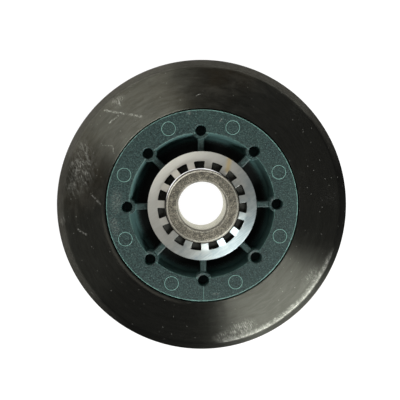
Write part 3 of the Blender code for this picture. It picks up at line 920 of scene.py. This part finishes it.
def nylon():
    """Teal glass-filled nylon: mottled, with pale edges that are partly wear and partly painted edge
    highlight, pocket walls painted lighter as if lit, and painted shade that darkens the pockets'
    floors.
    """
    s = Shader("hub_nylon")
    height = s.math("ABSOLUTE", s.z)
    flow = s.noise(s.mm, 0.16, 3.0, 0.6, 1.2)
    mottle = s.noise(s.mm, 2.1, 6.0, 0.82)
    fibres = s.noise(s.vector("MULTIPLY", s.mm, (3.4, 3.4, 2.0)), 1.0, 3.0, 0.6)
    face = s.step(height, 8.2, 8.45)
    # Pale lines on the rim's outer edge and the pockets' mouths, and on the ejector rings that stand
    # proud: partly wear, partly a painted edge highlight.
    outer_edge = s.step(s.radius, 24.98, 25.16)
    inner_edge = s.band(s.radius, 19.2, 0.22)
    edge = s.math("MULTIPLY", s.most(outer_edge, s.scaled(inner_edge, 0.5)), s.step(height, 7.9, 8.3))
    edge = s.math("MULTIPLY", edge, s.step(mottle, 0.35, 0.6, 0.15, 1.0))
    raised_wear_and_highlight = s.math("MULTIPLY", s.step(height, 8.555, 8.59), s.step(mottle, 0.3, 0.55, 0.4, 1.0))
    # Painted shade: deep in the pockets the colour goes to near black and Metallic takes their
    # reflection away, as if shade fell there.
    depth = s.step(height, 7.0, 2.0)
    painted_pocket_shade = s.math("MULTIPLY", depth, s.step(s.radius, 17.8, 16.2))

    ragged = s.wander(s.join(s.x, s.y, 0.0), 1.4, 0.7)
    smudges = s.most(
        s.scaled(s.patch(ragged, 176.0, 22.6, 4.4, 2.2), 0.32),
        s.scaled(s.patch(ragged, 192.0, 23.6, 4.0, 1.6), 0.3),
        s.scaled(s.patch(ragged, 97.0, 24.5, 1.1, 0.5), 0.6),
        s.scaled(s.stroke(ragged, polar(76.0, 23.4), polar(77.0, 22.4), 0.3), 0.9),
        s.scaled(s.patch(ragged, -82.0, 23.6, 1.6, 0.4), 0.4),
    )
    smudges = s.math("MULTIPLY", smudges, s.step(s.noise(s.mm, 2.0, 4.0, 0.7), 0.42, 0.68))
    smudges = s.math("MULTIPLY", smudges, s.step(s.z, 7.5, 8.3))
    weld = s.stroke(s.join(s.x, s.y, 0.0), (0.0, -21.4), (0.0, -25.2), 0.12)
    weld = s.math("MULTIPLY", weld, s.step(s.z, 7.5, 8.3))

    base = s.mix(s.step(mottle, 0.42, 0.6), NYLON_DARK, NYLON_LIGHT)
    base = s.mix(s.step(flow, 0.35, 0.7, 0.0, 0.35), base, NYLON_GREEN)
    # Painted light: the pocket walls get a lighter copy of the nylon colour, as if lit.
    wall = s.math("MULTIPLY", s.step(s.radius, 16.9, 18.2), s.step(height, 8.35, 7.9))
    base = s.mix(wall, base, NYLON_LIT_WALL)
    base = s.mix(s.scaled(s.step(fibres, 0.57, 0.65), 0.8), base, NYLON_FIBRE)
    # Wear and painted edge highlights, with the weld line, go into one pale mix.
    rubbed_and_highlit = s.most(s.scaled(edge, 0.5), s.scaled(raised_wear_and_highlight, 0.6), s.scaled(weld, 0.3))
    base = s.mix(rubbed_and_highlit, base, NYLON_WEAR_AND_HIGHLIGHT)
    base = s.mix(s.scaled(smudges, 0.5), base, TALC)
    # The painted pocket shade is mixed into the colour here and into Metallic below.
    s.put(s.surface.inputs["Base Color"], s.mix(s.scaled(painted_pocket_shade, 0.96), base, POCKET_SHADE_BLACK))
    s.put(s.surface.inputs["Metallic"], s.scaled(painted_pocket_shade, 0.75))
    rough = s.math("ADD", s.step(mottle, 0.3, 0.7, 0.42, 0.56), s.scaled(smudges, 0.2))
    s.put(s.surface.inputs["Roughness"], rough)
    relief = s.math("ADD", s.scaled(mottle, 0.7), s.scaled(fibres, 0.3))
    relief = s.math("ADD", relief, s.scaled(weld, 0.5))
    relief = s.math("MULTIPLY", relief, s.math("ADD", s.scaled(face, 0.7), 0.3))
    s.put(s.surface.inputs["Specular IOR Level"], 0.28)
    s.put(s.surface.inputs["Normal"], s.bump(relief, 0.03 * MM, normal=s.soft_edges(0.12 * MM)))
    return s.material


def sintered_iron():
    """Oil-filled sintered iron: grainy ends, chamfers bright from the tool, a burnished bore."""
    s = Shader("bush_sintered_iron")
    height = s.math("ABSOLUTE", s.z)
    grains = s.noise(s.mm, 3.2, 6.0, 0.85)
    pores = s.step(s.cells(s.mm, 2.4), 0.14, 0.34, 1.0, 0.0)
    blotches = s.noise(s.mm, 0.75, 3.0, 0.7)
    chamfer = s.math("MULTIPLY", s.band(s.radius, 9.13, 0.3), s.step(height, 13.3, 13.7))
    mouth = s.math("MULTIPLY", s.step(s.radius, 6.95, 6.7), s.step(height, 13.6, 13.9))
    bore = s.math("MULTIPLY", s.step(s.radius, 6.45, 6.38), s.step(s.z, 13.9, 6.0))
    bright = s.most(s.scaled(chamfer, 0.9), s.scaled(mouth, 0.2), bore)
    bright = s.math("MULTIPLY", bright, s.step(grains, 0.36, 0.6, 0.4, 1.0))

    base = s.mix(s.step(grains, 0.43, 0.57), IRON_DARK, IRON_LIGHT)
    base = s.mix(s.scaled(s.step(blotches, 0.42, 0.66), 0.65), base, IRON_DARK)
    base = s.mix(bright, base, IRON_BRIGHT)
    base = s.mix(s.scaled(pores, 0.8), base, IRON_PORE)
    s.put(s.surface.inputs["Base Color"], base)
    s.put(s.surface.inputs["Metallic"], s.step(bright, 0.0, 1.0, 0.45, 0.9))
    s.put(s.surface.inputs["Roughness"], s.step(bright, 0.0, 1.0, 0.62, 0.26))
    relief = s.math("SUBTRACT", s.scaled(grains, 0.8), s.scaled(pores, 0.7))
    s.put(s.surface.inputs["Normal"], s.bump(relief, 0.05 * MM, normal=s.soft_edges(0.08 * MM)))
    return s.material


def satin_steel(name, turn):
    """Blanked spring steel: fine rolling grain, a painted reflection tint from cool at the lower right
    to warm at the upper left broken by faint clouds, and one brown stain.
    """
    s = Shader(f"{name}_steel")
    grain_axis = Matrix.Rotation(turn + math.radians(38), 3, "Z")
    along = s.vector("DOT_PRODUCT", s.mm, grain_axis @ Vector((1, 0, 0)))
    across = s.vector("DOT_PRODUCT", s.mm, grain_axis @ Vector((0, 1, 0)))
    rolled = s.join(s.scaled(along, 0.35), s.scaled(across, 6.0), s.z)
    grain = s.noise(rolled, 1.0, 4.0, 0.6)
    clouds = s.noise(s.mm, 0.35, 3.0, 0.6, 0.5)
    stain_start = Vector(polar(53.5, 11.4))
    stain_end = Vector(polar(59.0, 14.6))
    ragged = s.wander(s.join(s.x, s.y, 0.0), 0.8, 0.5)
    stain = s.math("MULTIPLY", s.stroke(ragged, stain_start, stain_end, 1.1), s.step(s.z, 0.0, 1.0))
    # Painted reflection: the colour runs from cool at the lower right to warm at the upper left, broken
    # up by clouds, as the studio's lights would tint it.
    painted_reflection_side = s.math("SUBTRACT", s.scaled(s.y, 0.7), s.scaled(s.x, 0.7))
    painted_reflection_side = s.math("ADD", painted_reflection_side, s.step(clouds, 0.3, 0.7, -3.0, 3.0))

    base = s.mix(s.step(painted_reflection_side, -13.0, 4.0), STEEL_COOL, STEEL_WARM)
    base = s.mix(s.scaled(s.step(grain, 0.4, 0.75), 0.25), base, STEEL_BRIGHT)
    base = s.mix(s.scaled(stain, 0.85), base, STEEL_STAIN)
    s.put(s.surface.inputs["Base Color"], base)
    s.put(s.surface.inputs["Metallic"], 1.0)
    s.put(s.surface.inputs["Roughness"], s.step(grain, 0.25, 0.75, 0.37, 0.45))
    s.put(s.surface.inputs["Anisotropic"], STEEL_ANISOTROPY)
    s.put(s.surface.inputs["Anisotropic Rotation"], STEEL_TURN)
    s.put(s.surface.inputs["Tangent"], s.around_bore())
    s.put(s.surface.inputs["Normal"], s.bump(grain, 0.004 * MM, normal=s.soft_edges(0.05 * MM)))
    return s.material


def felt(name):
    """Oil-soaked wool felt: matted fibres, nearly black."""
    s = Shader(f"{name}_felt")
    matted = s.noise(s.wander(s.mm, 1.5, 1.6), 3.5, 5.0, 0.7)
    strands = s.noise(s.vector("MULTIPLY", s.wander(s.mm, 0.9, 2.2), (7.0, 1.6, 3.0)), 1.0, 3.0, 0.6)
    base = s.mix(s.step(matted, 0.3, 0.7), FELT_DARK, FELT_LIGHT)
    base = s.mix(s.scaled(s.step(strands, 0.58, 0.7), 0.4), base, FELT_STRAND)
    s.put(s.surface.inputs["Base Color"], base)
    s.put(s.surface.inputs["Roughness"], s.step(matted, 0.3, 0.7, 0.8, 1.0))
    relief = s.math("ADD", s.scaled(matted, 0.6), s.scaled(strands, 0.4))
    s.put(s.surface.inputs["Normal"], s.bump(relief, 0.12 * MM))
    return s.material


# ---------------------------------------------------------------- stage, light and camera

def flat_square(name, size, level):
    mesh = bpy.data.meshes.new(name)
    reach = size / 2
    corners = [(x * reach, y * reach, level) for x, y in ((-1, -1), (1, -1), (1, 1), (-1, 1))]
    mesh.from_pydata(corners, [], [(0, 1, 2, 3)])
    return new_object(name, mesh)


def paper(name, glow, reach):
    """White paper that shows its upper side only, out to a radius in millimetres."""
    s = Shader(name)
    tone = s.step(s.noise(s.mm, 0.02, 2.0), 0.3, 0.7, 0.05, 0.06)
    s.put(s.surface.inputs["Base Color"], s.join(tone, tone, tone))
    s.put(s.surface.inputs["Roughness"], 0.9)
    s.put(s.surface.inputs["Emission Color"], glow)
    s.put(s.surface.inputs["Emission Strength"], 1.0)
    under = s.make("ShaderNodeNewGeometry").outputs["Backfacing"]
    beyond = s.step(s.radius, reach, 1.01 * reach)
    clear = s.make("ShaderNodeBsdfTransparent").outputs["BSDF"]
    shaders = {0: s.most(under, beyond), 1: s.surface.outputs["BSDF"], 2: clear}
    mixed = s.make("ShaderNodeMixShader", shaders)
    s.put(s.tree.nodes["Material Output"].inputs["Surface"], mixed.outputs[0])
    return s.material


def make_floor():
    """Plain white floor, and the part of it that lights the bore's wall through the bore."""
    floor = flat_square("floor", FLOOR_SIZE, CAD_BOX[0].z)
    floor.data.materials.append(paper("floor_white", (1.0, 1.0, 1.0, 1.0), FLOOR_SIZE / MM))
    floor.visible_diffuse = False
    floor.visible_glossy = False
    floor.visible_transmission = False
    floor.visible_shadow = False
    patch = flat_square("floor_under_bore", 4 * BORE_RADIUS, CAD_BOX[0].z)
    patch.data.materials.append(paper("floor_under_bore", PAPER_GLOW, BORE_RADIUS / MM))
    patch.visible_camera = False


def make_light(name, azimuth, elevation, *, distance, size, power, colour):
    """A soft box that faces the roller. Azimuth runs counter-clockwise from +X, in degrees."""
    light = bpy.data.lights.new(name, "AREA")
    light.shape = "RECTANGLE"
    light.size, light.size_y = size
    light.energy = power
    light.color = colour
    item = bpy.data.objects.new(name, light)
    turn, rise = math.radians(azimuth), math.radians(elevation)
    where = Vector((math.cos(turn) * math.cos(rise), math.sin(turn) * math.cos(rise), math.sin(rise)))
    item.location = where * distance
    item.rotation_mode = "QUATERNION"
    item.rotation_quaternion = (-where).to_track_quat("-Z", "Y")
    bpy.context.scene.collection.objects.link(item)


def make_world():
    """Dim room light, brighter overhead. Seen directly it is the same white as the floor."""
    world = bpy.data.worlds.new("studio")
    world.use_nodes = True
    tree = world.node_tree
    background = tree.nodes["Background"]
    direction = tree.nodes.new("ShaderNodeTexCoord").outputs["Generated"]
    up = tree.nodes.new("ShaderNodeSeparateXYZ")
    tree.links.new(direction, up.inputs[0])
    rise = tree.nodes.new("ShaderNodeMapRange")
    rise.interpolation_type = "SMOOTHSTEP"
    tree.links.new(up.outputs["Z"], rise.inputs["Value"])
    rise.inputs["From Min"].default_value = ROOM_LOW
    rise.inputs["From Max"].default_value = 1.0
    rise.inputs["To Min"].default_value = ROOM_DIM
    rise.inputs["To Max"].default_value = ROOM_BRIGHT
    seen = tree.nodes.new("ShaderNodeLightPath").outputs["Is Camera Ray"]
    pick = tree.nodes.new("ShaderNodeMix")
    tree.links.new(seen, pick.inputs["Factor"])
    tree.links.new(rise.outputs["Result"], pick.inputs[2])
    pick.inputs[3].default_value = 1.0
    tree.links.new(pick.outputs[0], background.inputs["Strength"])
    background.inputs["Color"].default_value = (1.0, 1.0, 1.0, 1.0)
    bpy.context.scene.world = world


def make_camera():
    camera = bpy.data.cameras.new("camera")
    camera.lens = CAMERA_LENS
    camera.sensor_width = CAMERA_SENSOR
    camera.clip_start = 10 * MM
    camera.clip_end = 10.0
    item = bpy.data.objects.new("camera", camera)
    where = Vector((*CAMERA_OFFSET, BUSH_END + CAMERA_HEIGHT))
    aim = Vector((*CAMERA_AIM, BUSH_END))
    back = (where - aim).normalized()
    up = Matrix.Rotation(CAMERA_ROLL, 3, "Z") @ Vector((0, 1, 0))
    right = up.cross(back).normalized()
    frame_axes = Matrix((right, back.cross(right), back)).transposed()
    item.matrix_world = Matrix.Translation(where) @ frame_axes.to_4x4()
    bpy.context.scene.collection.objects.link(item)
    bpy.context.scene.camera = item


def make_studio():
    make_floor()
    make_light("key", -55, 41, distance=0.75, size=(0.44, 0.4), power=13.8, colour=KEY_COLOUR)
    make_light("fill", 127, 57, distance=0.8, size=(0.5, 0.35), power=0.92, colour=FILL_COLOUR)
    make_light("back_left", 196, 54, distance=0.85, size=(0.5, 0.4), power=0.45, colour=BACK_COLOUR)
    make_light("low_top", 68, 14, distance=0.9, size=WIDE_BOX, power=2.9, colour=LOW_COLOUR)
    make_light("low_side", 130, 14, distance=0.9, size=WIDE_BOX, power=5.6, colour=LOW_COLOUR)
    make_light("low_left", 192, 14, distance=0.9, size=WIDE_BOX, power=1.8, colour=LOW_COLOUR)
    make_light("under", 125, -86, distance=0.8, size=(0.4, 0.4), power=6.0, colour=UNDER_COLOUR)
    make_world()
    view = bpy.context.scene.view_settings
    view.view_transform = "Standard"
    view.look = "None"


make_camera()
make_tyre()
make_hub()
make_bush()
make_retainer("front_retainer", FRONT_RETAINER_TURN, False)
make_retainer("rear_retainer", REAR_RETAINER_TURN, True)
make_wick("front_wick", False)
make_wick("rear_wick", True)
make_studio()
